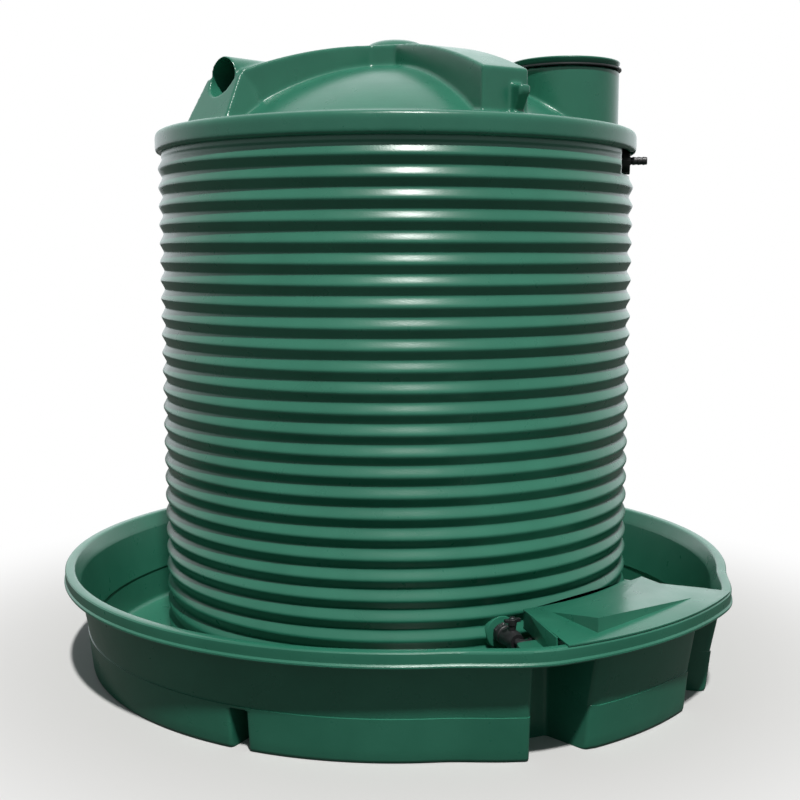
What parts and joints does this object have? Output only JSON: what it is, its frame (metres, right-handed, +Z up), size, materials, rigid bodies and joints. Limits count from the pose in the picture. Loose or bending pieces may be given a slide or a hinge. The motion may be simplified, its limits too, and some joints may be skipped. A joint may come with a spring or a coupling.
{
  "type": "stock tank",
  "caption": "Corrugated plastic water tank with a ribbed dome and manway, standing in a round drinking trough with a covered float valve.",
  "frame": {"origin": "middle of the trough's flat underside, on the ground", "axes": "+Z up, -Y towards the front, +X to the right, towards the manway"},
  "size_m": [2.608, 2.608, 2.389],
  "materials": {
    "green_plastic": "satin",
    "black_plastic": "satin",
    "black_rubber": "matte",
    "brass": "satin",
    "stainless_steel": "satin",
    "float_plastic": "satin"
  },
  "bodies": {
    "tank_and_trough": {"trough": "green_plastic", "tank_shell": "green_plastic", "overflow_tail": "black_plastic", "overflow_gasket": "black_rubber", "overflow_nut": "black_plastic", "outlet_body": "black_plastic", "outlet_gasket": "black_rubber", "outlet_nut": "black_plastic", "valve_body": "black_plastic", "pipe_elbow": "black_plastic", "supply_pipe": "black_plastic", "union_nut": "black_plastic", "valve_bracket": "stainless_steel", "bracket_bolt_1": "stainless_steel", "bracket_bolt_2": "stainless_steel", "lock_nut": "brass", "float_valve_body": "brass", "pivot_pin": "stainless_steel", "drain_bush": "black_plastic", "drain_nut": "black_plastic"},
    "strainer": {"manway_strainer": "black_plastic"},
    "lid": {"manway_lid": "green_plastic"},
    "handle": {"valve_handle": "black_plastic", "handle_nut": "stainless_steel", "valve_stem": "black_plastic", "valve_ball": "stainless_steel"},
    "float": {"float_arm": "brass", "float_ball": "float_plastic"},
    "plunger": {"valve_plunger": "brass", "plunger_washer": "black_rubber"},
    "cover": {"valve_cover": "green_plastic"},
    "plug": {"drain_plug": "black_plastic", "drain_seal": "black_rubber"}
  },
  "joints": [
    {"name": "strainer_lift", "type": "slide", "parent": "tank_and_trough", "child": "strainer", "axis": [0, 0, 1], "range_m": [0, 0.25]},
    {"name": "lid_lift", "type": "slide", "parent": "strainer", "child": "lid", "axis": [0, 0, 1], "range_m": [0, 0.2]},
    {"name": "handle_turn", "type": "hinge", "parent": "tank_and_trough", "child": "handle", "pos_m": [0.38601, -0.91382, 0.304], "axis": [0, 0, 1], "range_deg": [0, 90]},
    {"name": "float_swing", "type": "hinge", "parent": "tank_and_trough", "child": "float", "pos_m": [0.59943, -0.89097, 0.278], "axis": [0.3891, -0.9212, 0], "range_deg": [0, 22]},
    {"name": "plunger_slide", "type": "slide", "parent": "tank_and_trough", "child": "plunger", "axis": [-0.9212, -0.3891, 0], "range_m": [0, 0.0102]},
    {"name": "cover_lift", "type": "slide", "parent": "tank_and_trough", "child": "cover", "axis": [0, 0, 1], "range_m": [0, 0.25]},
    {"name": "drain_pull", "type": "slide", "parent": "tank_and_trough", "child": "plug", "axis": [-0.7071, 0.7071, 0], "range_m": [0, 0.08]}
  ],
  "couplings": [
    {"joint": "plunger_slide", "follows": "float_swing", "m_per_rad": 0.0263}
  ]
}
